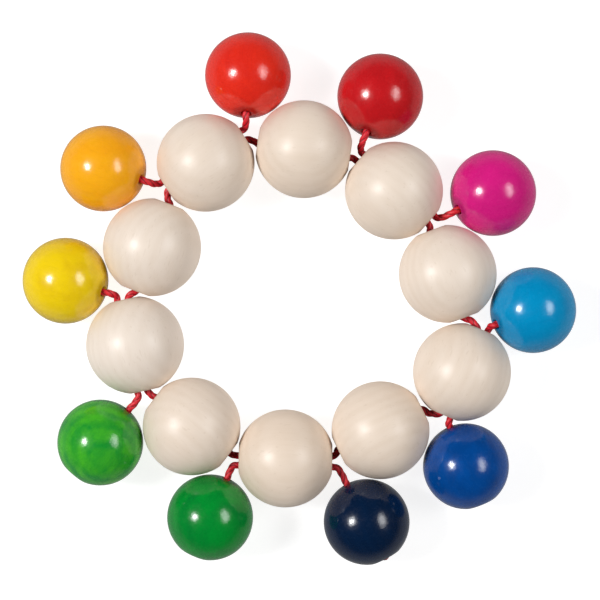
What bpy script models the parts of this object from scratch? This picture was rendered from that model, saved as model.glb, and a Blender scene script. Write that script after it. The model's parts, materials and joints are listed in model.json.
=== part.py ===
"""Baby rattle: a loose ring of ten pale wooden beads on one cord, with ten smaller
lacquered beads hanging from its odd-numbered beads on five short link cords.

The ring lies flat on Z = 0. All driving sizes are in millimetres and degrees.
"""

import math

import bmesh
import bpy
import numpy as np
from mathutils import Vector

for old in list(bpy.data.objects):
    bpy.data.objects.remove(old, do_unlink=True)

MM = 0.001

# --- beads ---------------------------------------------------------------------
NATURAL_D = 20.0
NATURAL_BORE_D = 5.2  # wide enough for the ring cord and a link cord side by side
NATURAL_CHAMFER = 0.3
COLOUR_D = 17.6
COLOUR_BORE_D = 2.6
COLOUR_CHAMFER = 0.3
CORD_FLAT_D = 4.3  # the end of a coloured bead that its cord enters is cut flat this wide
KNOT_FLAT_D = 6.2  # and the outer end this wide
KNOT_BORE_D = 4.6  # counterbore in the outer end that takes the knot
KNOT_BORE_DEPTH = 4.2
BEAD_SEGMENTS = 20
ARC_STEPS = 10

# --- cords ---------------------------------------------------------------------
CORD_D = 1.5
RING_CORD_SIDE = -0.4  # how far the ring cord lies to the inside of each bore axis
GAP_CORD_SIDE = -0.2  # the same, where it crosses from one bead to the next
LINK_CORD_SIDE = 1.55  # how far a link cord lies to the outside of it
CORD_BREAK = 0.5  # gap in a cord where one moving body hands over to the next
KNOT_D = 3.9
KNOT_TURNS = 3
KNOT_SINK = 0.5  # how far the last turn lies below the bead's outer end
MOUTH_OUT = 9.6  # where the ring cord leaves a bead
PIVOT_OUT = 9.8  # where a link cord leaves its bead, measured from the bead's centre
AIM_OUT = 10.7  # the coloured bead's bore is aimed, in plan, at this point beyond it
LEAVE_PULL = 1.1  # how firmly a link cord keeps its direction as it leaves its bead
ENTER_PULL = 1.5  # and as it enters the coloured bead
TAIL_STEPS = 9

# --- how the loose ring lies ------------------------------------------------------
TOUCH_GAP = 0.3
FOLD_GAP = 0.5  # a little more air at the two places where the ring folds
FOLD_AFTER = (5, 10)  # the folds come after these beads, counted from 1
# compass direction from each wooden bead to the next, anticlockwise from +X
BEARINGS = (8, -24.5, -57, -81.5, -144.5, -163.5, 161, 124.5, 80, 57.5)

# --- the hanging beads: colour name, holding bead, leaned-on bead, slack, dip, cord end ---
# slack is the air left between a coloured bead and the bead that holds it;
# dip is how many degrees its bore slopes down towards the knot;
# cord end is how far the cut cord stands out of the bead's outer end
PENDANTS = (
    ("orange_red", 1, 2, 1.2, 22, -0.1),
    ("red", 3, 2, 0.8, 22, -0.1),
    ("magenta", 3, 4, 1.6, 20, -0.1),
    ("light_blue", 5, 4, 0.6, 17, 0.0),
    ("blue", 5, 6, 0.6, 4, -0.1),
    ("navy", 7, 6, 2.4, 2, 0.6),
    ("green", 7, 8, 0.9, 6, 0.3),
    ("light_green", 9, 8, 2.5, 5, -0.1),
    ("yellow", 9, 10, 0.7, 18, -0.1),
    ("orange", 1, 10, 2.3, 18, 0.0),
)

# --- colours: linear red, green, blue, then roughness ------------------------------
LOOKS = {
    "natural": ((0.80, 0.66, 0.48), 0.38),
    "cord": ((0.52, 0.010, 0.016), 0.75),
    "orange_red": ((0.76, 0.030, 0.016), 0.14),
    "red": ((0.55, 0.012, 0.014), 0.14),
    "magenta": ((0.64, 0.010, 0.22), 0.14),
    "light_blue": ((0.0, 0.25, 0.56), 0.14),
    "blue": ((0.0, 0.065, 0.31), 0.14),
    "navy": ((0.003, 0.015, 0.060), 0.14),
    "green": ((0.0, 0.25, 0.028), 0.14),
    "light_green": ((0.045, 0.35, 0.020), 0.14),
    "yellow": ((0.87, 0.58, 0.008), 0.14),
    "orange": ((0.93, 0.36, 0.010), 0.14),
}

UP = np.array([0.0, 0.0, 1.0])
NATURAL_R, COLOUR_R, CORD_R = NATURAL_D / 2, COLOUR_D / 2, CORD_D / 2
BEADS = len(BEARINGS)
TINY = 1e-9


def unit(v):
    return v / max(float(np.linalg.norm(v)), TINY)


# --- layout ------------------------------------------------------------------------
def pitches():
    gaps = [FOLD_GAP if i + 1 in FOLD_AFTER else TOUCH_GAP for i in range(BEADS)]
    return [NATURAL_D + gap for gap in gaps]


def ring_centres():
    """Bead centres walked round the bearings, then eased until the loop closes at its pitch."""
    pitch = pitches()
    steps = np.array(
        [
            (math.cos(math.radians(b)) * p, math.sin(math.radians(b)) * p, 0.0)
            for b, p in zip(BEARINGS, pitch)
        ]
    )
    steps -= steps.mean(axis=0)
    centres = np.cumsum(np.vstack([np.zeros(3), steps[:-1]]), axis=0)
    for _ in range(400):
        for i in range(BEADS):
            j = (i + 1) % BEADS
            apart = centres[j] - centres[i]
            length = float(np.linalg.norm(apart))
            ease = apart * (length - pitch[i]) / (2 * length)
            centres[i] += ease
            centres[j] -= ease
    centres -= centres.mean(axis=0)
    centres[:, 2] = NATURAL_R
    return centres


def bore_axes(centres):
    return [
        unit(centres[(i + 1) % BEADS] - centres[i - 1]) for i in range(BEADS)
    ]


def outward(axis):
    """The level direction to the left of a bore axis, which is outwards on this ring."""
    return np.cross(UP, axis)


def pendant_centre(holder, leaned, slack):
    """Centre of a coloured bead resting on the floor against one bead, near its holder."""
    drop = NATURAL_R - COLOUR_R
    reach = NATURAL_R + COLOUR_R
    to_leaned = math.sqrt((reach + TOUCH_GAP) ** 2 - drop**2)
    to_holder = math.sqrt((reach + slack) ** 2 - drop**2)
    base = leaned - holder
    length = float(np.linalg.norm(base))
    along = (to_holder**2 - to_leaned**2 + length**2) / (2 * length)
    across = math.sqrt(to_holder**2 - along**2)
    side = outward(unit(base))
    if float(np.dot(side, holder)) < 0:
        side = -side
    spot = holder + unit(base) * along + side * across
    return np.array([spot[0], spot[1], COLOUR_R])


class Pendant:
    def __init__(self, row, centres, axes):
        self.name, holder, leaned, slack, dip, self.cord_end = row
        self.holder, self.leaned = holder, leaned
        hold, lean = centres[holder - 1], centres[leaned - 1]
        axis = axes[holder - 1]
        self.out = axis if float(np.dot(axis, lean - hold)) > 0 else -axis
        self.side = outward(axis)
        self.centre = pendant_centre(hold, lean, slack)
        line = hold + self.side * LINK_CORD_SIDE
        self.pivot = line + self.out * PIVOT_OUT
        level = self.centre - (line + self.out * AIM_OUT)
        level[2] = 0.0
        slope = math.radians(dip)
        self.drill = unit(level) * math.cos(slope) - UP * math.sin(slope)
        self.swing_axis = unit(lean - self.pivot)
        # the swing is counted positive when the coloured bead lifts off the floor
        if float(np.dot(np.cross(self.swing_axis, self.centre - self.pivot), UP)) < 0:
            self.swing_axis = -self.swing_axis


# --- mesh helpers --------------------------------------------------------------------
def frame_for(axis):
    """Two unit vectors square to axis, the first pointing down towards the floor."""
    down = -UP + axis * float(np.dot(axis, UP))
    down = unit(down)
    return down, np.cross(axis, down)


def lathe(profile, centre, axis, segments, closed_loop):
    """Turns (along, radius) points about an axis. A closed loop makes a drilled shape."""
    down, side = frame_for(axis)
    verts, faces = [], []
    for k in range(segments):
        turn = 2 * math.pi * k / segments
        ray = down * math.cos(turn) + side * math.sin(turn)
        verts += [centre + axis * x + ray * r for x, r in profile]
    n = len(profile)
    for k in range(segments):
        m = (k + 1) % segments
        for i in range(n if closed_loop else n - 1):
            j = (i + 1) % n
            faces.append((k * n + i, k * n + j, m * n + j, m * n + i))
    if not closed_loop:
        faces.append([k * n for k in range(segments)])
        faces.append([k * n + n - 1 for k in range(segments)][::-1])
    return verts, faces


def bezier(a, b, c, d, steps):
    """Points of a cubic curve that leaves a towards b and reaches d from c."""
    path = []
    for s in range(steps + 1):
        t = s / steps
        u = 1 - t
        path.append(a * u**3 + b * 3 * u * u * t + c * 3 * u * t * t + d * t**3)
    return path


def smooth_through(points, per_span):
    """Catmull-Rom samples through the inner points of a list."""
    path = []
    for p0, p1, p2, p3 in zip(points, points[1:], points[2:], points[3:]):
        for s in range(per_span):
            t = s / per_span
            path.append(
                0.5
                * (
                    2 * p1
                    + (p2 - p0) * t
                    + (2 * p0 - 5 * p1 + 4 * p2 - p3) * t * t
                    + (3 * p1 - p0 - 3 * p2 + p3) * t**3
                )
            )
    path.append(points[-2])
    return path


# --- materials and objects --------------------------------------------------------------
def material(look):
    found = bpy.data.materials.get(look)
    if found:
        return found
    colour, roughness = LOOKS[look]
    made = bpy.data.materials.new(look)
    made.use_nodes = True
    shader = made.node_tree.nodes["Principled BSDF"]
    shader.inputs["Base Color"].default_value = (*colour, 1.0)
    shader.inputs["Roughness"].default_value = roughness
    shader.inputs["Metallic"].default_value = 0.0
    return made


def add_mesh(name, verts, faces, look, origin):
    mesh = bpy.data.meshes.new(name)
    local = [tuple((v - origin) * MM) for v in verts]
    mesh.from_pydata(local, [], [tuple(f) for f in faces])
    work = bmesh.new()
    work.from_mesh(mesh)
    bmesh.ops.recalc_face_normals(work, faces=work.faces[:])
    work.to_mesh(mesh)
    work.free()
    mesh.materials.append(material(look))
    mesh.polygons.foreach_set("use_smooth", [True] * len(mesh.polygons))
    mesh.set_sharp_from_angle(angle=math.radians(40))
    obj = bpy.data.objects.new(name, mesh)
    obj.location = Vector(origin * MM)
    bpy.context.scene.collection.objects.link(obj)
    return obj


def add_cord(name, path, origin):
    curve = bpy.data.curves.new(name, "CURVE")
    curve.dimensions = "3D"
    curve.bevel_depth = CORD_R * MM
    curve.bevel_resolution = 2
    curve.use_fill_caps = True
    spline = curve.splines.new("POLY")
    spline.points.add(len(path) - 1)
    for point, place in zip(spline.points, path):
        point.co = (*((place - origin) * MM), 1.0)
    curve.materials.append(material("cord"))
    obj = bpy.data.objects.new(name, curve)
    obj.location = Vector(origin * MM)
    bpy.context.scene.collection.objects.link(obj)
    return obj


# --- profiles ---------------------------------------------------------------------------
def arc(radius, start_r, end_r):
    """(along, radius) points of a ball from one hole's rim to the other's."""
    first = math.pi - math.asin(start_r / radius)
    last = math.asin(end_r / radius)
    turns = [first + (last - first) * i / ARC_STEPS for i in range(ARC_STEPS + 1)]
    return [(radius * math.cos(t), radius * math.sin(t)) for t in turns]


def natural_profile():
    bore = NATURAL_BORE_D / 2
    skin = arc(NATURAL_R, bore + NATURAL_CHAMFER, bore + NATURAL_CHAMFER)
    end = skin[-1][0] - NATURAL_CHAMFER
    return [(-end, bore)] + skin + [(end, bore)]


def flat_at(width):
    """How far from the middle of a coloured bead an end cut flat to this width is."""
    return math.sqrt(COLOUR_R**2 - (width / 2) ** 2)


def colour_profile():
    """Along points from the cord's side to the knot's side of a coloured bead."""
    bore, knot = COLOUR_BORE_D / 2, KNOT_BORE_D / 2
    cord_end, knot_end = -flat_at(CORD_FLAT_D), flat_at(KNOT_FLAT_D)
    skin = arc(COLOUR_R, CORD_FLAT_D / 2, KNOT_FLAT_D / 2)
    return (
        [(cord_end + COLOUR_CHAMFER, bore), (cord_end, bore + COLOUR_CHAMFER)]
        + skin
        + [
            (knot_end, knot + COLOUR_CHAMFER),
            (knot_end - COLOUR_CHAMFER, knot),
            (knot_floor(), knot),
            (knot_floor(), bore),
        ]
    )


def knot_floor():
    return flat_at(KNOT_FLAT_D) - KNOT_BORE_DEPTH


def knot_profile(cord_end):
    """Three rounded turns of cord, then the cut end."""
    start = knot_floor() + TOUCH_GAP
    turn = (KNOT_BORE_DEPTH - TOUCH_GAP - KNOT_SINK) / KNOT_TURNS
    full, waist = KNOT_D / 2, KNOT_D / 2 - 0.4
    points = [(start, CORD_R + 0.1)]
    for k in range(KNOT_TURNS):
        begin = start + k * turn
        points += [(begin + turn * 0.3, full), (begin + turn * 0.7, full)]
        if k < KNOT_TURNS - 1:
            points.append((begin + turn, waist))
    end = start + KNOT_TURNS * turn
    points += [(end, CORD_R), (flat_at(KNOT_FLAT_D) + cord_end, CORD_R)]
    return points


# --- build ---------------------------------------------------------------------------------
def shift_to_middle(centres, axes):
    """Moves the layout so that the middle of the whole object is over the origin."""
    pendants = [Pendant(row, centres, axes) for row in PENDANTS]
    low = np.array([1e9, 1e9])
    high = -low
    for spots, radius in (
        (centres, NATURAL_R),
        ([p.centre for p in pendants], COLOUR_R),
    ):
        for spot in spots:
            low = np.minimum(low, spot[:2] - radius)
            high = np.maximum(high, spot[:2] + radius)
    centres[:, :2] -= (low + high) / 2


def ring_cord_path(centres, axes, gaps, first, last):
    """The ring cord through beads first..last, from one fold gap to the other."""

    def along_bore(k, distance):
        line = centres[k] + outward(axes[k]) * RING_CORD_SIDE
        return line + axes[k] * distance

    before, after = (first - 2) % BEADS, last % BEADS
    points = [along_bore(before, MOUTH_OUT), gaps[before]]
    for k in range(first - 1, last):
        points += [along_bore(k, x * MOUTH_OUT) for x in (-0.94, -0.5, 0.0, 0.5, 0.94)]
        points.append(gaps[k])
    points.append(along_bore(after, -MOUTH_OUT))
    path = smooth_through(points, 2)
    cut = CORD_BREAK / 2
    path[0] = path[0] + unit(path[1] - path[0]) * cut
    path[-1] = path[-1] + unit(path[-2] - path[-1]) * cut
    return path


def gap_points(centres, axes):
    """Where the ring cord crosses the middle of each gap between wooden beads."""
    found = []
    for i in range(BEADS):
        j = (i + 1) % BEADS
        leave = centres[i] + outward(axes[i]) * GAP_CORD_SIDE + axes[i] * MOUTH_OUT
        enter = centres[j] + outward(axes[j]) * GAP_CORD_SIDE - axes[j] * MOUTH_OUT
        across = unit(centres[j] - centres[i])
        off = (leave + enter - centres[i] - centres[j]) / 2
        found.append((leave + enter) / 2 - across * float(np.dot(off, across)))
    return found


def build():
    centres = ring_centres()
    axes = bore_axes(centres)
    shift_to_middle(centres, axes)
    pendants = [Pendant(row, centres, axes) for row in PENDANTS]
    gaps = gap_points(centres, axes)

    for i in range(BEADS):
        verts, faces = lathe(
            natural_profile(), centres[i], axes[i], BEAD_SEGMENTS, True
        )
        add_mesh(f"natural_bead_{i + 1:02d}", verts, faces, "natural", centres[i])

    first_fold, second_fold = FOLD_AFTER
    for name, start, stop in (
        ("ring_cord_a", second_fold - BEADS + 1, first_fold),
        ("ring_cord_b", first_fold + 1, second_fold),
    ):
        path = ring_cord_path(centres, axes, gaps, start, stop)
        add_cord(name, path, gaps[start - 2])

    for holder in sorted({p.holder for p in pendants}):
        own = [p for p in pendants if p.holder == holder]
        back = CORD_BREAK / 2
        ends = [p.pivot - p.out * back for p in own]
        middle = (ends[0] + ends[1]) / 2
        fold_line = gaps[first_fold - 1]
        add_cord(f"link_cord_{holder:02d}", [ends[0], middle, ends[1]], fold_line)

    for p in pendants:
        root = p.pivot + p.out * (CORD_BREAK / 2)
        mouth = p.centre - p.drill * flat_at(CORD_FLAT_D)
        stop = p.centre + p.drill * knot_floor()
        most = float(np.linalg.norm(mouth - root)) / 2  # a short cord has no room for more
        path = bezier(
            root,
            root + p.out * min(LEAVE_PULL, most),
            mouth - p.drill * min(ENTER_PULL, most),
            mouth,
            TAIL_STEPS,
        )
        path += [mouth + (stop - mouth) * t for t in (0.2, 0.4, 0.6, 0.8, 1.0)]
        add_cord(f"cord_tail_{p.name}", path, p.pivot)
        verts, faces = lathe(
            colour_profile(), p.centre, p.drill, BEAD_SEGMENTS, True
        )
        add_mesh(f"bead_{p.name}", verts, faces, p.name, p.centre)
        verts, faces = lathe(knot_profile(p.cord_end), p.centre, p.drill, 12, False)
        add_mesh(f"knot_{p.name}", verts, faces, "cord", p.pivot)


build()
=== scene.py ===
"""Looks of the baby rattle: turned wooden beads, lacquered beads and twisted cord."""

import json
import math

import bmesh
import bpy
import numpy as np
from mathutils import Matrix, Vector, noise


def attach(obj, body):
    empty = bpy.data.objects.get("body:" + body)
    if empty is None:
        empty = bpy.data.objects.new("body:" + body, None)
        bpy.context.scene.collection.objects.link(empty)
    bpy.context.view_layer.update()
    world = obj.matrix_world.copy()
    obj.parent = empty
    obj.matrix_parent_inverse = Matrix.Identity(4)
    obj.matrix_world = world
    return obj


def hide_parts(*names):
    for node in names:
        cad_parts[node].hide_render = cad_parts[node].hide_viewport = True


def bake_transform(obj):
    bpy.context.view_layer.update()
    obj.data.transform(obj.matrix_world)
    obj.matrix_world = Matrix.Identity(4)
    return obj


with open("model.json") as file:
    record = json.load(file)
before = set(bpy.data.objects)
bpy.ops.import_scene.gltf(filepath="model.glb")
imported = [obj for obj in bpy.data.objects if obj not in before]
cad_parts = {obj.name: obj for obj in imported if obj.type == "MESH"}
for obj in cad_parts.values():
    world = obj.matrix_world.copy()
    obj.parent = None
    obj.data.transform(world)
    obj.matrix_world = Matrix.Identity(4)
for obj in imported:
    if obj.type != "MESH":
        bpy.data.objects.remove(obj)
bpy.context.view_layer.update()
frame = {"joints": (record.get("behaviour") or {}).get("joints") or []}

# All lengths below are in millimetres unless a name ends in _M.
MM = 0.001
UP = np.array([0.0, 0.0, 1.0])

# --- camera and light -----------------------------------------------------------------
LENS = 200.0
SENSOR = 36.0
FRAME_WIDTH = 122.86  # width in view at the height of the bead centres
VIEW_CENTRE = (0.14, -0.29)
BEAD_HEIGHT = 10.0
CLIP_NEAR_M, CLIP_FAR_M = 0.01, 20.0
LIGHT_AWAY_M = 3.0
# name, direction towards the light, size across and along it in metres, radiance;
# each softbox is an ellipse, brighter in its middle than at its edge
SOFTBOXES = (
    ("key_middle", (-0.649, 0.065, 0.758), (0.70, 0.66), 47.0),
    ("key_edge", (-0.649, 0.065, 0.758), (1.24, 1.16), 7.5),
    ("fill_middle", (0.667, 0.099, 0.738), (1.20, 0.70), 9.5),
    ("fill_edge", (0.667, 0.099, 0.738), (2.00, 1.34), 4.1),
)
ROOM_LIGHT = 0.03  # the dark studio round the softboxes
LOW_ROOM_LIGHT = 0.26  # and what the lacquer mirrors from below the beads
ROOM_LOW_Z, ROOM_HIGH_Z = -0.3, 0.05  # where the room turns from one to the other
BACKDROP_LIGHT = 0.96  # what shows past the floor
FLOOR_SIZE_M = 6.0
FLOOR_DROP = 0.02  # the floor lies this far under the beads
FLOOR_COLOUR, FLOOR_GLOW = 0.30, 0.84

# --- beads ----------------------------------------------------------------------------
NATURAL_R = 10.0
NATURAL_FINISH = 0.03  # primer and varnish on the turned wood
NATURAL_BORE_R = 2.55
NATURAL_RIM = 0.30  # how far the mouth of its bore is broken back
NATURAL_SOFT = 0.16  # how round its corners are worn
NATURAL_LIGHT, NATURAL_DARK = (0.838, 0.716, 0.606), (0.797, 0.668, 0.551)
NATURAL_SEED, COLOUR_SEED, COLOUR_LUMP_SEED = 40, 90, 20
# how pale each wooden bead is, and what one step paler adds to red, green and blue
NATURAL_PALENESS = (-0.1, -0.5, 0.0, 0.4, 0.0, -0.5, -1.0, -0.1, 1.2, 0.5)
PALER = (0.016, 0.029, 0.040)
COLOUR_R = 8.8
COLOUR_FINISH = 0.02
COLOUR_BORE_R = 0.95
COLOUR_SOFT = 0.13
CORD_FLAT_R = 2.15  # the flat round the cord's mouth
KNOT_FLAT_R = 3.1  # and round the knot's
KNOT_BORE_R = 2.3
KNOT_BORE_DEPTH = 4.2
RIM = 0.3
SEGMENTS = 96
ARC_STEPS = 160
PROFILE_STEP = 0.05
PROFILE_TOLERANCE = 0.003
SOFT_REACH = 4  # how many soft widths the rounding looks to each side
OUT_OF_ROUND = 0.035
LUMP_SCALE = 0.11
LUMP_CLEAR = 0.25  # how much of a bead keeps its full radius
LUMP_FADE_R = 9.0

# --- cords ----------------------------------------------------------------------------
CORD_R = 0.75
STRANDS = 3
STRAND_SIDES = 10
STRAND_R = 0.68  # share of the cord's own radius
CORD_LAY = 5.4  # length of one whole turn of the strands
CORD_STEP = 0.22
# how far each cord runs outward of the wooden bead's axis
RING_CORD_SIDE = -0.4
GAP_CORD_SIDE = -0.2
LINK_CORD_SIDE = 1.55
MOUTH_OUT = 9.6
RING_CORD_STOPS = (-0.94, -0.5, 0.0, 0.5, 0.94)  # shares of the way to a mouth
RING_CORD_SAMPLES = 16
ROOT_OUT = 0.25  # a link cord stays straight this far past its hinge
LEAVE_PULL = 1.1
ENTER_PULL = 1.5
LINK_STEPS, OPEN_STEPS, DRILLED_STEPS = 30, 40, 20
# how far from a hinge a cord starts and ends its bend
KNOT_COIL_R = 1.12
KNOT_WRAPS = 2.6
KNOT_SINK = 0.5  # how deep the coil's top sits below the bead's flat
KNOT_STEPS = 60
KNOT_OPENS, KNOT_CLOSES = 0.10, 0.13  # shares of the coil where it widens and narrows
KNOT_COIL_EASE = 0.95  # the coil's ends keep most of a cord's radius clear
KNOT_LINE_STEP, KNOT_MESH_STEP = 0.3, 0.16
TIP_LENGTH = 0.55
TIP_SWELL, TIP_SWELL_AT, TIP_SWELL_WIDTH = 0.10, 0.35, 0.25
TIP_DOME = 0.30
KNOT_THIN = 0.97

BEADS = 10
# colour name: the wooden bead that holds its cord, how far the cut end stands out,
# and its surface: light stain, dark stain, how patchy, how streaky
PENDANTS = {
    "orange_red": (1, -0.1, (0.800, 0.028, 0.012), (0.640, 0.016, 0.012), 0.5, 0.2),
    "red": (3, -0.1, (0.575, 0.010, 0.014), (0.420, 0.008, 0.011), 0.5, 0.2),
    "magenta": (3, -0.1, (0.700, 0.013, 0.220), (0.550, 0.010, 0.172), 0.5, 0.3),
    "light_blue": (5, 0.0, (0.000, 0.280, 0.560), (0.000, 0.200, 0.450), 0.4, 0.2),
    "blue": (5, -0.1, (0.000, 0.068, 0.312), (0.000, 0.042, 0.205), 0.6, 0.4),
    "navy": (7, 0.6, (0.001, 0.012, 0.044), (0.001, 0.008, 0.030), 0.4, 0.4),
    "green": (7, 0.3, (0.000, 0.262, 0.028), (0.000, 0.170, 0.026), 0.6, 0.4),
    "light_green": (9, -0.1, (0.062, 0.450, 0.020), (0.006, 0.270, 0.026), 1.0, 0.8),
    "yellow": (9, -0.1, (0.900, 0.640, 0.006), (0.740, 0.460, 0.006), 0.6, 0.2),
    "orange": (1, 0.0, (0.960, 0.430, 0.010), (0.900, 0.330, 0.008), 0.5, 0.2),
}

JOINTS = {j["name"]: j for j in frame["joints"]}


def unit(v):
    v = np.asarray(v, float)
    return v / max(float(np.linalg.norm(v)), 1e-9)


def place(joint):
    return np.array(JOINTS[joint]["pos_m"], float) / MM


def heading(joint):
    return unit(JOINTS[joint]["axis"])


def outward(axis):
    return np.cross(UP, axis)


# --- camera ---------------------------------------------------------------------------
def make_camera():
    data = bpy.data.cameras.new("camera")
    data.lens, data.sensor_width = LENS, SENSOR
    data.clip_start, data.clip_end = CLIP_NEAR_M, CLIP_FAR_M
    camera = bpy.data.objects.new("camera", data)
    height = BEAD_HEIGHT + FRAME_WIDTH * LENS / SENSOR
    camera.location = Vector((*VIEW_CENTRE, height)) * MM
    bpy.context.scene.collection.objects.link(camera)
    bpy.context.scene.camera = camera


make_camera()


# --- shader helpers -------------------------------------------------------------------
class Shader:
    """A Principled material built node by node."""

    def __init__(self, name, **constants):
        self.material = bpy.data.materials.new(name)
        self.material.use_nodes = True
        self.tree = self.material.node_tree
        self.principled = self.tree.nodes["Principled BSDF"]
        for socket, value in constants.items():
            self.principled.inputs[socket.replace("_", " ")].default_value = value

    def node(self, kind, inputs=None, output=0, **settings):
        made = self.tree.nodes.new("ShaderNode" + kind)
        for name, value in settings.items():
            setattr(made, name, value)
        for key, value in (inputs or {}).items():
            if isinstance(value, bpy.types.NodeSocket):
                self.tree.links.new(value, made.inputs[key])
            else:
                made.inputs[key].default_value = value
        return made.outputs[output]

    def link(self, value, socket):
        self.tree.links.new(value, self.principled.inputs[socket])

    def object_mm(self, turn=(0.0, 0.0, 0.0)):
        coordinates = self.node("TexCoord", output="Object")
        return self.scaled(coordinates, (1 / MM,) * 3, turn=turn)

    def scaled(self, vector, by, move=(0.0, 0.0, 0.0), turn=(0.0, 0.0, 0.0)):
        return self.node(
            "Mapping",
            {"Vector": vector, "Scale": by, "Location": move, "Rotation": turn},
        )

    def noise(self, vector, scale, detail=2.0, rough=0.5, distortion=0.0):
        return self.node(
            "TexNoise",
            {
                "Vector": vector,
                "Scale": scale,
                "Detail": detail,
                "Roughness": rough,
                "Distortion": distortion,
            },
        )

    def span(self, value, low, high, to_low=0.0, to_high=1.0, smooth=True):
        return self.node(
            "MapRange",
            {
                "Value": value,
                "From Min": low,
                "From Max": high,
                "To Min": to_low,
                "To Max": to_high,
            },
            interpolation_type="SMOOTHSTEP" if smooth else "LINEAR",
        )

    def math(self, operation, a, b=0.0, c=None):
        inputs = {0: a, 1: b}
        if c is not None:
            inputs[2] = c
        return self.node("Math", inputs, operation=operation)

    def mix(self, share, a, b):
        return self.node("Mix", {0: share, 6: a, 7: b}, output=2, data_type="RGBA")

    def bump(self, height, strength, distance_mm, normal=None):
        inputs = {"Height": height, "Strength": strength, "Distance": distance_mm * MM}
        if normal is not None:
            inputs["Normal"] = normal
        return self.node("Bump", inputs)


def rgba(colour):
    return (*colour, 1.0)


# --- materials ------------------------------------------------------------------------
def bead_coordinates(s, seed, turn):
    """Millimetres about the bead's own centre, Z along its bore, and a shifted copy."""
    here = s.object_mm(turn)
    rng = np.random.RandomState(seed)
    shifted = s.scaled(
        here,
        (1.0, 1.0, 1.0),
        tuple(rng.uniform(-60, 60, 3)),
        (rng.uniform(-0.08, 0.08), rng.uniform(-0.08, 0.08), 0.0),
    )
    return here, shifted, rng


def from_axis(s, here):
    flat = s.scaled(here, (1.0, 1.0, 0.0))
    return s.node("VectorMath", {0: flat}, output="Value", operation="LENGTH")


def wood_pattern(s, here, shifted, rng):
    """Growth rings, fine fibres and long streaks of close-grained wood, each 0 to 1."""
    pith = rng.uniform(14, 26)
    turn = rng.uniform(0, 2 * math.pi)
    centre = (pith * math.cos(turn), pith * math.sin(turn), 0.0)
    own = s.scaled(here, (1.0, 1.0, 0.10), centre)
    rings = s.node(
        "TexWave",
        {
            "Vector": own,
            "Scale": 0.15,
            "Distortion": 3.0,
            "Detail": 3.0,
            "Detail Scale": 0.7,
            "Phase Offset": float(rng.uniform(0, 6)),
        },
        output=1,
        wave_type="RINGS",
        rings_direction="Z",
        wave_profile="SIN",
    )
    fibres = s.noise(s.scaled(shifted, (4.2, 4.2, 0.22)), 1.0, 3.0, 0.6)
    streaks = s.noise(s.scaled(shifted, (0.85, 0.85, 0.05)), 1.0, 3.0, 0.55, 0.3)
    return rings, fibres, streaks


def natural_wood(index, turn):
    s = Shader(
        f"natural_wood_{index:02d}",
        IOR=1.46,
        Coat_Weight=0.06,
        Coat_Roughness=0.22,
    )
    here, shifted, rng = bead_coordinates(s, NATURAL_SEED + index, turn)
    rings, fibres, streaks = wood_pattern(s, here, shifted, rng)
    sway = s.noise(s.scaled(shifted, (0.10, 0.10, 0.035)), 1.0, 2.0)
    rays = s.noise(s.scaled(shifted, (3.2, 1.3, 0.62)), 1.0, 1.0, 0.4)
    tone = [NATURAL_PALENESS[index - 1] * share for share in PALER]
    light = rgba([c + t for c, t in zip(NATURAL_LIGHT, tone)])
    dark = rgba([c + t for c, t in zip(NATURAL_DARK, tone)])
    grain = s.math("MULTIPLY_ADD", rings, 0.22, s.math("MULTIPLY", streaks, 0.60))
    grain = s.math("MULTIPLY_ADD", fibres, 0.36, grain)
    grain = s.math("MULTIPLY_ADD", sway, 0.40, grain)
    colour = s.mix(s.span(grain, 0.55, 1.20), light, dark)
    flecks = s.span(rays, 0.66, 0.74)
    colour = s.mix(s.math("MULTIPLY", flecks, 0.16), colour, rgba((0.55, 0.42, 0.29)))
    # the end grain round the drilled hole drinks more lacquer and darkens
    rim = s.span(from_axis(s, here), 2.4, 4.2, 0.55, 0.0)
    colour = s.mix(rim, colour, rgba((0.46, 0.30, 0.17)))
    s.link(colour, "Base Color")
    rough = s.span(fibres, 0.3, 0.7, 0.37, 0.46, smooth=False)
    s.link(s.math("MULTIPLY_ADD", rim, 0.3, rough), "Roughness")
    height = s.math("MULTIPLY_ADD", streaks, 0.8, s.math("MULTIPLY", fibres, 0.55))
    height = s.math("MULTIPLY_ADD", flecks, -0.35, height)
    uneven = s.bump(s.noise(shifted, 0.42, 2.0), 0.30, 0.10)
    s.link(s.bump(height, 0.35, 0.035, uneven), "Normal")
    return s.material


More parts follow.
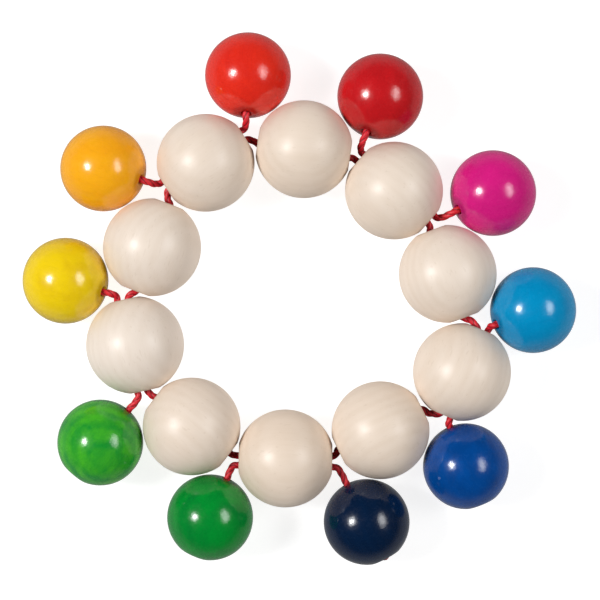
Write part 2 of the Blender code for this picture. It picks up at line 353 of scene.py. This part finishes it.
def lacquered_wood(name, index, turn, light, dark, patchy, streaky):
    s = Shader(
        f"lacquer_{name}",
        IOR=1.45,
        Specular_IOR_Level=0.2,
        Coat_Weight=0.65,
        Coat_Roughness=0.11,
        Coat_IOR=1.5,
    )
    here, shifted, rng = bead_coordinates(s, COLOUR_SEED + index, turn)
    rings, fibres, streaks = wood_pattern(s, here, shifted, rng)
    patches = s.noise(s.scaled(shifted, (1.0, 1.0, 0.8)), 0.17, 4.0, 0.55, 0.6)
    patches = s.span(patches, 0.36, 0.66)
    lines = s.math("MULTIPLY_ADD", rings, 0.5, s.math("MULTIPLY", streaks, 0.8))
    lines = s.span(lines, 0.35, 1.0)
    share = s.math("MULTIPLY", patches, 0.75 * patchy)
    share = s.math("MULTIPLY_ADD", lines, 0.55 * streaky, share)
    share = s.math("MINIMUM", share, 1.0)
    colour = s.mix(share, rgba(light), rgba(dark))
    fine = s.span(fibres, 0.45, 0.75, 0.0, 0.12 + 0.16 * streaky)
    deep = tuple(c * 0.62 for c in dark)
    colour = s.mix(fine, colour, rgba(deep))
    # stain pools where the lacquer was dipped round the drilled hole
    rim = s.span(from_axis(s, here), 2.1, 3.4, 0.75, 0.0)
    colour = s.mix(rim, colour, rgba(deep))
    s.link(colour, "Base Color")
    worn = s.span(s.noise(shifted, 0.9, 4.0, 0.65), 0.42, 0.72, 0.24, 0.36)
    s.link(worn, "Roughness")
    peel = s.noise(shifted, 0.55, 3.0, 0.5)
    uneven = s.bump(peel, 0.42, 0.12)
    grain = s.math("MULTIPLY_ADD", streaks, 0.7, s.math("MULTIPLY", fibres, 0.22))
    dents = s.node(
        "TexVoronoi", {"Vector": shifted, "Scale": 0.42, "Randomness": 1.0}, output=0
    )
    dents = s.span(dents, 0.0, 0.16, -0.8, 0.0)
    normal = s.bump(s.math("ADD", grain, dents), 0.30, 0.035, uneven)
    s.link(normal, "Normal")
    s.link(normal, "Coat Normal")
    return s.material


def cord_fibre():
    s = Shader("cord_fibre", Sheen_Weight=0.10, Sheen_Roughness=0.35, IOR=1.5)
    s.principled.inputs["Sheen Tint"].default_value = (1.0, 0.35, 0.32, 1.0)
    strand = s.node("UVMap", uv_map="strand")
    parts = s.tree.nodes.new("ShaderNodeSeparateXYZ")
    s.tree.links.new(strand, parts.inputs[0])
    across, along = parts.outputs[0], parts.outputs[1]
    slanted = s.math("MULTIPLY_ADD", along, 0.55, s.math("MULTIPLY", across, 7.0))
    yarn = s.tree.nodes.new("ShaderNodeCombineXYZ")
    s.tree.links.new(slanted, yarn.inputs[0])
    s.tree.links.new(s.math("MULTIPLY", along, 0.30), yarn.inputs[1])
    fibres = s.noise(yarn.outputs[0], 2.4, 3.0, 0.6)
    wear = s.noise(s.object_mm(), 0.8, 2.0)
    dark, light = rgba((0.560, 0.007, 0.020)), rgba((0.800, 0.016, 0.030))
    colour = s.mix(s.span(fibres, 0.30, 0.70), dark, light)
    worn = s.span(wear, 0.40, 0.70, 0.0, 0.25)
    colour = s.mix(worn, colour, rgba((0.46, 0.006, 0.016)))
    # painted shade: the valley between two strands is darkened in the colour
    middle = s.math("ABSOLUTE", s.math("SUBTRACT", s.math("FRACT", across), 0.5))
    valley_shade = s.span(middle, 0.34, 0.50, 0.0, 0.85)
    colour = s.mix(valley_shade, colour, rgba((0.120, 0.001, 0.006)))
    s.link(colour, "Base Color")
    s.link(s.span(fibres, 0.3, 0.7, 0.55, 0.42, smooth=False), "Roughness")
    s.link(s.bump(fibres, 0.35, 0.03), "Normal")
    return s.material


def sealed_tip():
    """Where the cut cord was melted shut: darker, harder and a little glossy."""
    s = Shader("sealed_tip", IOR=1.5)
    lumps = s.noise(s.object_mm(), 2.2, 3.0)
    dark, light = rgba((0.180, 0.004, 0.008)), rgba((0.420, 0.010, 0.014))
    s.link(s.mix(s.span(lumps, 0.35, 0.7), dark, light), "Base Color")
    s.link(s.span(lumps, 0.3, 0.7, 0.28, 0.5), "Roughness")
    s.link(s.bump(lumps, 0.6, 0.12), "Normal")
    return s.material


def paper_floor():
    s = Shader("paper_floor", Roughness=0.65)
    fine = s.noise(s.object_mm(), 0.25, 4.0)
    pale, paler = (FLOOR_COLOUR,) * 3, (FLOOR_COLOUR + 0.015,) * 3
    s.link(s.mix(s.span(fine, 0.3, 0.7), rgba(pale), rgba(paler)), "Base Color")
    s.principled.inputs["Emission Color"].default_value = (1.0, 1.0, 1.0, 1.0)
    s.principled.inputs["Emission Strength"].default_value = FLOOR_GLOW
    s.link(s.bump(fine, 0.08, 0.1), "Normal")
    return s.material


# --- mesh helpers ---------------------------------------------------------------------
def new_object(name, verts, faces, materials, centre=(0.0, 0.0, 0.0)):
    mesh = bpy.data.meshes.new(name)
    mesh.from_pydata([tuple(v) for v in np.asarray(verts) * MM], [], faces)
    work = bmesh.new()
    work.from_mesh(mesh)
    bmesh.ops.recalc_face_normals(work, faces=work.faces[:])
    work.to_mesh(mesh)
    work.free()
    for material in materials:
        mesh.materials.append(material)
    mesh.polygons.foreach_set("use_smooth", [True] * len(mesh.polygons))
    made = bpy.data.objects.new(name, mesh)
    made.location = Vector(centre) * MM
    bpy.context.scene.collection.objects.link(made)
    return made


def grain_axes(axis, roll):
    """Rows x, y and z of a frame whose z runs along the bore."""
    x = unit(np.cross(UP, axis))
    y = np.cross(axis, x)
    turned = x * math.cos(roll) + y * math.sin(roll)
    return np.array([turned, np.cross(axis, turned), axis])


def simplified(points, tolerance):
    """Douglas-Peucker on an open polyline of 2D points."""
    keep = np.zeros(len(points), bool)
    keep[0] = keep[-1] = True
    stack = [(0, len(points) - 1)]
    while stack:
        a, b = stack.pop()
        if b - a < 2:
            continue
        line = points[b] - points[a]
        length = float(np.linalg.norm(line))
        off = points[a + 1 : b] - points[a]
        if length < 1e-6:
            away = np.linalg.norm(off, axis=1)
        else:
            away = np.abs(line[0] * off[:, 1] - line[1] * off[:, 0]) / length
        k = int(away.argmax())
        if away[k] > tolerance:
            keep[a + 1 + k] = True
            stack += [(a, a + 1 + k), (a + 1 + k, b)]
    return points[keep]


def softened(profile, soft):
    """A closed profile with its corners worn round, as turning and lacquer do."""
    points = np.array(profile + profile[:1], float)
    steps = np.linalg.norm(np.diff(points, axis=0), axis=1)
    along = np.concatenate([[0.0], np.cumsum(steps)])
    count = int(along[-1] / PROFILE_STEP)
    wanted = np.arange(count) * along[-1] / count
    fine = np.stack([np.interp(wanted, along, points[:, k]) for k in (0, 1)], axis=1)
    reach = int(SOFT_REACH * soft / PROFILE_STEP)
    weights = np.exp(-0.5 * (np.arange(-reach, reach + 1) * PROFILE_STEP / soft) ** 2)
    weights /= weights.sum()
    padded = np.concatenate([fine[-reach:], fine, fine[:reach]])
    smooth = np.stack(
        [np.convolve(padded[:, k], weights, mode="valid") for k in (0, 1)], axis=1
    )
    thin = simplified(np.concatenate([smooth, smooth[:1]]), PROFILE_TOLERANCE)
    return thin[:-1]


def sphere_arc(radius, start_r, end_r):
    first = math.pi - math.asin(start_r / radius)
    last = math.asin(end_r / radius)
    turns = [first + (last - first) * i / ARC_STEPS for i in range(ARC_STEPS + 1)]
    return [(radius * math.cos(t), radius * math.sin(t)) for t in turns]


def turned_bead(name, profile, materials, centre, axes, seed):
    """A drilled bead: the profile turned about the third axis, a bit out of round."""
    rings = len(profile)
    turn = np.arange(SEGMENTS) * 2 * math.pi / SEGMENTS
    verts = np.zeros((SEGMENTS, rings, 3))
    verts[:, :, 0] = np.cos(turn)[:, None] * profile[None, :, 1]
    verts[:, :, 1] = np.sin(turn)[:, None] * profile[None, :, 1]
    verts[:, :, 2] = profile[None, :, 0]
    verts = verts.reshape(-1, 3)
    shift = Vector((seed * 7.3, seed * 3.1, seed * 5.7))
    for v in verts:
        size = float(np.linalg.norm(v))
        sway = noise.noise(Vector(v) * LUMP_SCALE + shift)
        sunk = min(0.0, sway - LUMP_CLEAR) * min(1.0, size / LUMP_FADE_R)
        v *= 1 + OUT_OF_ROUND * sunk / size
    faces = []
    for k in range(SEGMENTS):
        m = (k + 1) % SEGMENTS
        for i in range(rings):
            j = (i + 1) % rings
            faces.append((k * rings + i, k * rings + j, m * rings + j, m * rings + i))
    return new_object(name, verts @ axes, faces, materials, centre)


def natural_profile():
    rim = NATURAL_BORE_R + NATURAL_RIM
    skin = sphere_arc(NATURAL_R + NATURAL_FINISH, rim, rim)
    end = skin[-1][0] - NATURAL_RIM
    line = [(-end, NATURAL_BORE_R)] + skin + [(end, NATURAL_BORE_R)]
    return softened(line, NATURAL_SOFT)


def flat_at(radius):
    return math.sqrt(COLOUR_R**2 - radius**2)


def colour_profile():
    skin = sphere_arc(COLOUR_R + COLOUR_FINISH, COLOUR_BORE_R + RIM, KNOT_FLAT_R)
    knot_end = skin[-1][0]
    floor = flat_at(KNOT_FLAT_R) - KNOT_BORE_DEPTH
    return softened(
        [(skin[0][0] + RIM, COLOUR_BORE_R)]
        + skin
        + [
            (knot_end, KNOT_BORE_R + RIM),
            (knot_end - RIM, KNOT_BORE_R),
            (floor, KNOT_BORE_R),
            (floor, COLOUR_BORE_R),
        ],
        COLOUR_SOFT,
    )


# --- cord helpers ---------------------------------------------------------------------
def evenly(points, step, closed=False):
    """The same line with points a fixed step apart."""
    points = np.asarray(points, float)
    if closed:
        points = np.vstack([points, points[:1]])
    lengths = np.linalg.norm(np.diff(points, axis=0), axis=1)
    along = np.concatenate([[0.0], np.cumsum(lengths)])
    count = max(2, int(round(along[-1] / step)))
    wanted = np.linspace(0, along[-1], count + 1)
    line = np.stack([np.interp(wanted, along, points[:, k]) for k in range(3)], axis=1)
    return line[:-1] if closed else line


def through(points, per_span):
    """Catmull-Rom samples of a closed line through the points."""
    points = [points[-1]] + points + points[:2]
    path = []
    for p0, p1, p2, p3 in zip(points, points[1:], points[2:], points[3:]):
        for k in range(per_span):
            t = k / per_span
            path.append(
                0.5
                * (
                    2 * p1
                    + (p2 - p0) * t
                    + (2 * p0 - 5 * p1 + 4 * p2 - p3) * t * t
                    + (3 * p1 - p0 - 3 * p2 + p3) * t**3
                )
            )
    return path


def bezier(a, b, c, d, steps):
    path = []
    for k in range(steps + 1):
        t = k / steps
        u = 1 - t
        path.append(a * u**3 + b * 3 * u * u * t + c * 3 * u * t * t + d * t**3)
    return path


def tangents(path, closed):
    if closed:
        ahead = np.roll(path, -1, axis=0) - np.roll(path, 1, axis=0)
    else:
        ahead = np.gradient(path, axis=0)
    return ahead / np.linalg.norm(ahead, axis=1)[:, None]


def carried_frames(path, closed):
    """Two vectors square to the line at each point, turning as little as they can."""
    ahead = tangents(path, closed)
    side = unit(np.cross(ahead[0], UP if abs(ahead[0][2]) < 0.9 else (1.0, 0.0, 0.0)))
    sides = [side]
    for t in ahead[1:]:
        side = unit(side - t * float(np.dot(side, t)))
        sides.append(side)
    sides = np.array(sides)
    return sides, np.cross(ahead, sides)


def strand_outline():
    """(angle, share of the radius, place across a strand 0..1) round a laid cord."""
    rows = []
    for strand in range(STRANDS):
        for k in range(STRAND_SIDES):
            across = k / STRAND_SIDES
            half = math.pi / STRANDS
            phi = (across * 2 - 1) * half
            off = 1 - STRAND_R
            r = off * math.cos(phi)
            r += math.sqrt(STRAND_R**2 - (off * math.sin(phi)) ** 2)
            rows.append((2 * half * strand + phi, r, strand, across))
    return rows


def laid_cord(
    name, line, materials, closed=False, phase=0.0, swell=None, tip_from=None
):
    """A twisted cord along line. swell gives the radius factor at each point; from
    tip_from on, faces take the second material."""
    line = np.asarray(line, float)
    count = len(line)
    sides, ups = carried_frames(line, closed)
    lengths = np.linalg.norm(np.diff(line, axis=0), axis=1)
    along = np.concatenate([[0.0], np.cumsum(lengths)])
    whole = along[-1] + (np.linalg.norm(line[0] - line[-1]) if closed else 0.0)
    turns = whole / CORD_LAY
    if closed:
        turns = round(turns * STRANDS) / STRANDS
    outline = strand_outline()
    n = len(outline)
    angles = np.array([row[0] for row in outline])
    shares = np.array([row[1] for row in outline])
    twist = phase + along / whole * turns * 2 * math.pi
    factor = np.ones(count) if swell is None else np.asarray(swell, float)
    turned = twist[:, None] + angles[None, :]
    reach = CORD_R * factor[:, None] * shares[None, :]
    verts = (
        line[:, None, :]
        + sides[:, None, :] * (np.cos(turned) * reach)[:, :, None]
        + ups[:, None, :] * (np.sin(turned) * reach)[:, :, None]
    ).reshape(-1, 3)
    faces, corners = [], []
    step = 1.0 / STRAND_SIDES
    # a closed cord's last ring meets its first one strand or more round
    shift = int(round(turns * STRANDS)) * STRAND_SIDES % n if closed else 0
    for k in range(count if closed else count - 1):
        m = (k + 1) % count
        wrap = shift if m == 0 else 0
        v0, v1 = along[k], whole if m == 0 else along[m]
        for i in range(n):
            j = (i + 1) % n
            faces.append(
                (k * n + i, k * n + j, m * n + (j + wrap) % n, m * n + (i + wrap) % n)
            )
            u0 = outline[i][2] + outline[i][3]
            u1 = u0 + step
            corners += [(u0, v0), (u1, v0), (u1, v1), (u0, v1)]
    if not closed:
        for ring, flip in ((0, True), (count - 1, False)):
            cap = [ring * n + i for i in range(n)]
            faces.append(cap[::-1] if flip else cap)
            corners += [(0.5, along[ring])] * n
    made = new_object_with_uv(name, verts, faces, corners, materials)
    if tip_from is not None:
        first = int(np.searchsorted(along, tip_from))
        indices = [1 if k // n >= first else 0 for k in range(len(faces))]
        made.data.polygons.foreach_set("material_index", indices)
    return made


def new_object_with_uv(name, verts, faces, corners, materials):
    """The faces keep their order, so each corner keeps its place on the strands."""
    mesh = bpy.data.meshes.new(name)
    mesh.from_pydata([tuple(v) for v in np.asarray(verts) * MM], [], faces)
    layer = mesh.uv_layers.new(name="strand")
    layer.data.foreach_set("uv", np.array(corners, np.float32).ravel())
    for material in materials:
        mesh.materials.append(material)
    mesh.polygons.foreach_set("use_smooth", [True] * len(mesh.polygons))
    mesh.update()
    made = bpy.data.objects.new(name, mesh)
    bpy.context.scene.collection.objects.link(made)
    work = bmesh.new()
    work.from_mesh(mesh)
    if work.calc_volume(signed=True) < 0:
        bmesh.ops.reverse_faces(work, faces=work.faces[:])
        work.to_mesh(mesh)
    work.free()
    return made


# --- the cords ------------------------------------------------------------------------
CENTRES = [place(f"spin_natural_{i + 1:02d}") for i in range(BEADS)]
AXES = [heading(f"spin_natural_{i + 1:02d}") for i in range(BEADS)]
FIBRE, TIP = cord_fibre(), sealed_tip()


def gap_points():
    found = []
    for i in range(BEADS):
        j = (i + 1) % BEADS
        leave = CENTRES[i] + outward(AXES[i]) * GAP_CORD_SIDE + AXES[i] * MOUTH_OUT
        enter = CENTRES[j] + outward(AXES[j]) * GAP_CORD_SIDE - AXES[j] * MOUTH_OUT
        across = unit(CENTRES[j] - CENTRES[i])
        off = (leave + enter - CENTRES[i] - CENTRES[j]) / 2
        found.append((leave + enter) / 2 - across * float(np.dot(off, across)))
    return found


def make_ring_cord():
    """One closed loop through all ten wooden beads."""
    gaps = gap_points()
    points = []
    for k in range(BEADS):
        line = CENTRES[k] + outward(AXES[k]) * RING_CORD_SIDE
        points += [line + AXES[k] * x * MOUTH_OUT for x in RING_CORD_STOPS]
        points.append(gaps[k])
    path = evenly(through(points, RING_CORD_SAMPLES), CORD_STEP, closed=True)
    cord = laid_cord("cord_ring", path, [FIBRE], closed=True)
    fold, axis = place("ring_fold"), heading("ring_fold")
    over = unit(np.cross(UP, axis))
    if float(np.dot(over, CENTRES[5] - fold)) < 0:
        over = -over
    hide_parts("ring_cord_a", "ring_cord_b")
    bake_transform(cord)


def knot_path(mouth_at, cut_at):
    """A stopper knot wound round its own cord, about +Z, from the bore floor out."""
    floor = flat_at(KNOT_FLAT_R) - KNOT_BORE_DEPTH
    low = floor + CORD_R * KNOT_COIL_EASE
    high = mouth_at - KNOT_SINK - CORD_R * KNOT_COIL_EASE
    points = [(0.0, 0.0, floor - 1.0), (0.0, 0.0, floor - 0.2)]
    for k in range(KNOT_STEPS + 1):
        t = k / KNOT_STEPS
        angle = t * KNOT_WRAPS * 2 * math.pi
        opened = math.sin(min(1.0, t / KNOT_OPENS) * math.pi / 2)
        closed = math.sin(min(1.0, (1 - t) / KNOT_CLOSES) * math.pi / 2)
        r = KNOT_COIL_R * opened * closed
        z = low + (high - low) * t
        points.append((r * math.cos(angle), r * math.sin(angle), z))
    points += [(0.0, 0.0, high + 0.55), (0.0, 0.0, cut_at - 0.3), (0.0, 0.0, cut_at)]
    line = evenly(points, KNOT_LINE_STEP)
    for _ in range(2):
        line[1:-1] = (line[:-2] + 2 * line[1:-1] + line[2:]) / 4
    return evenly(line, KNOT_MESH_STEP)


def make_knot(name, centre, drill, cut_end, index):
    mouth_at = flat_at(KNOT_FLAT_R)
    local = knot_path(mouth_at, mouth_at + cut_end)
    x = unit(np.cross(UP, drill))
    y = np.cross(drill, x)
    roll = 1.7 * index
    a = x * math.cos(roll) + y * math.sin(roll)
    b = np.cross(drill, a)
    line = centre + local[:, :1] * a + local[:, 1:2] * b + local[:, 2:] * drill
    lengths = np.linalg.norm(np.diff(line, axis=0), axis=1)
    left = np.concatenate([np.cumsum(lengths[::-1])[::-1], [0.0]])
    # the melted tip spreads a little and closes in a shallow dome
    swell = 1.0 + TIP_SWELL * np.exp(-(((left - TIP_SWELL_AT) / TIP_SWELL_WIDTH) ** 2))
    swell *= np.sqrt(np.clip(left / TIP_DOME, 0.02, 1.0))
    whole = float(lengths.sum())
    knot = laid_cord(
        f"knot_end_{name}",
        line,
        [FIBRE, TIP],
        phase=0.9 * index,
        swell=KNOT_THIN * swell,
        tip_from=whole - TIP_LENGTH,
    )
    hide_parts(f"knot_{name}")
    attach(knot, f"tail_{name}")


def make_link_cord(name, index):
    """Half of a link cord: from the middle of its wooden bead to its knot."""
    holder = PENDANTS[name][0]
    swing, spin = f"swing_{name}", f"spin_{name}"
    centre, drill, pivot = place(spin), heading(spin), place(swing)
    axis = AXES[holder - 1]
    out = axis if float(np.dot(axis, pivot - CENTRES[holder - 1])) > 0 else -axis
    middle = CENTRES[holder - 1] + outward(axis) * LINK_CORD_SIDE
    mouth = centre - drill * flat_at(CORD_FLAT_R)
    floor = centre + drill * (flat_at(KNOT_FLAT_R) - KNOT_BORE_DEPTH)
    root = pivot + out * ROOT_OUT
    path = [middle + (root - middle) * t for t in np.linspace(0, 1, LINK_STEPS)[:-1]]
    most = float(np.linalg.norm(mouth - root)) / 2
    leave, enter = min(LEAVE_PULL, most), min(ENTER_PULL, most)
    path += bezier(root, root + out * leave, mouth - drill * enter, mouth, OPEN_STEPS)
    path += [mouth + (floor - mouth) * t for t in np.linspace(0, 1, DRILLED_STEPS)[1:]]
    cord = laid_cord(
        f"cord_{name}", evenly(path, CORD_STEP), [FIBRE], phase=0.6 + 1.3 * index
    )
    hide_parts(f"cord_tail_{name}", f"link_cord_{holder:02d}")
    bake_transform(cord)
    make_knot(name, centre, drill, PENDANTS[name][1], index)


make_ring_cord()
for number, pendant in enumerate(PENDANTS):
    make_link_cord(pendant, number)


# --- the beads ------------------------------------------------------------------------
def make_natural_beads():
    profile = natural_profile()
    for i in range(BEADS):
        name = f"natural_bead_{i + 1:02d}"
        axes = grain_axes(AXES[i], 0.7 * i)
        wood = natural_wood(i + 1, tuple(Matrix(axes).to_euler()))
        bead = turned_bead(f"wood_{name}", profile, [wood], CENTRES[i], axes, i + 1)
        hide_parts(name)
        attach(bead, f"natural_{i + 1:02d}")


def make_coloured_beads():
    profile = colour_profile()
    for i, (name, row) in enumerate(PENDANTS.items()):
        axes = grain_axes(heading(f"spin_{name}"), 1.1 * i)
        lacquer = lacquered_wood(name, i, tuple(Matrix(axes).to_euler()), *row[2:])
        centre = place(f"spin_{name}")
        seed = COLOUR_LUMP_SEED + i
        bead = turned_bead(f"wood_bead_{name}", profile, [lacquer], centre, axes, seed)
        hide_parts(f"bead_{name}")
        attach(bead, f"ball_{name}")


make_natural_beads()
make_coloured_beads()


# --- floor and light ------------------------------------------------------------------
def make_floor():
    half = FLOOR_SIZE_M / MM / 2
    signs = ((-1, -1), (1, -1), (1, 1), (-1, 1))
    corners = [(half * x, half * y, 0.0) for x, y in signs]
    floor = new_object("floor", corners, [(0, 1, 2, 3)], [paper_floor()])
    floor.location.z = -FLOOR_DROP * MM
    floor.visible_glossy = False


def make_lights():
    for name, direction, (width, height), radiance in SOFTBOXES:
        data = bpy.data.lights.new(name, "AREA")
        data.shape, data.size, data.size_y = "ELLIPSE", width, height
        data.energy = radiance * math.pi * (math.pi / 4 * width * height)
        lamp = bpy.data.objects.new(name, data)
        towards = Vector(direction).normalized()
        lamp.location = towards * LIGHT_AWAY_M
        lamp.rotation_mode = "QUATERNION"
        lamp.rotation_quaternion = towards.to_track_quat("Z", "Y")
        bpy.context.scene.collection.objects.link(lamp)


def make_room():
    """The studio's own light: dark above, paler below, white behind the floor."""
    world = bpy.data.worlds.new("studio")
    world.use_nodes = True
    tree = world.node_tree
    towards = tree.nodes.new("ShaderNodeSeparateXYZ")
    coordinates = tree.nodes.new("ShaderNodeTexCoord").outputs["Generated"]
    tree.links.new(coordinates, towards.inputs[0])
    room = tree.nodes.new("ShaderNodeMapRange")
    for socket, value in (
        ("From Min", ROOM_LOW_Z),
        ("From Max", ROOM_HIGH_Z),
        ("To Min", LOW_ROOM_LIGHT),
        ("To Max", ROOM_LIGHT),
    ):
        room.inputs[socket].default_value = value
    tree.links.new(towards.outputs["Z"], room.inputs["Value"])
    seen = tree.nodes.new("ShaderNodeLightPath").outputs["Is Camera Ray"]
    level = tree.nodes.new("ShaderNodeMapRange")
    tree.links.new(room.outputs[0], level.inputs["To Min"])
    level.inputs["To Max"].default_value = BACKDROP_LIGHT
    tree.links.new(seen, level.inputs["Value"])
    tree.links.new(level.outputs[0], tree.nodes["Background"].inputs["Strength"])
    tree.nodes["Background"].inputs["Color"].default_value = rgba((1.0, 1.0, 1.0))
    bpy.context.scene.world = world
    bpy.context.scene.view_settings.view_transform = "Standard"
    bpy.context.scene.view_settings.look = "None"


make_floor()
make_lights()
make_room()
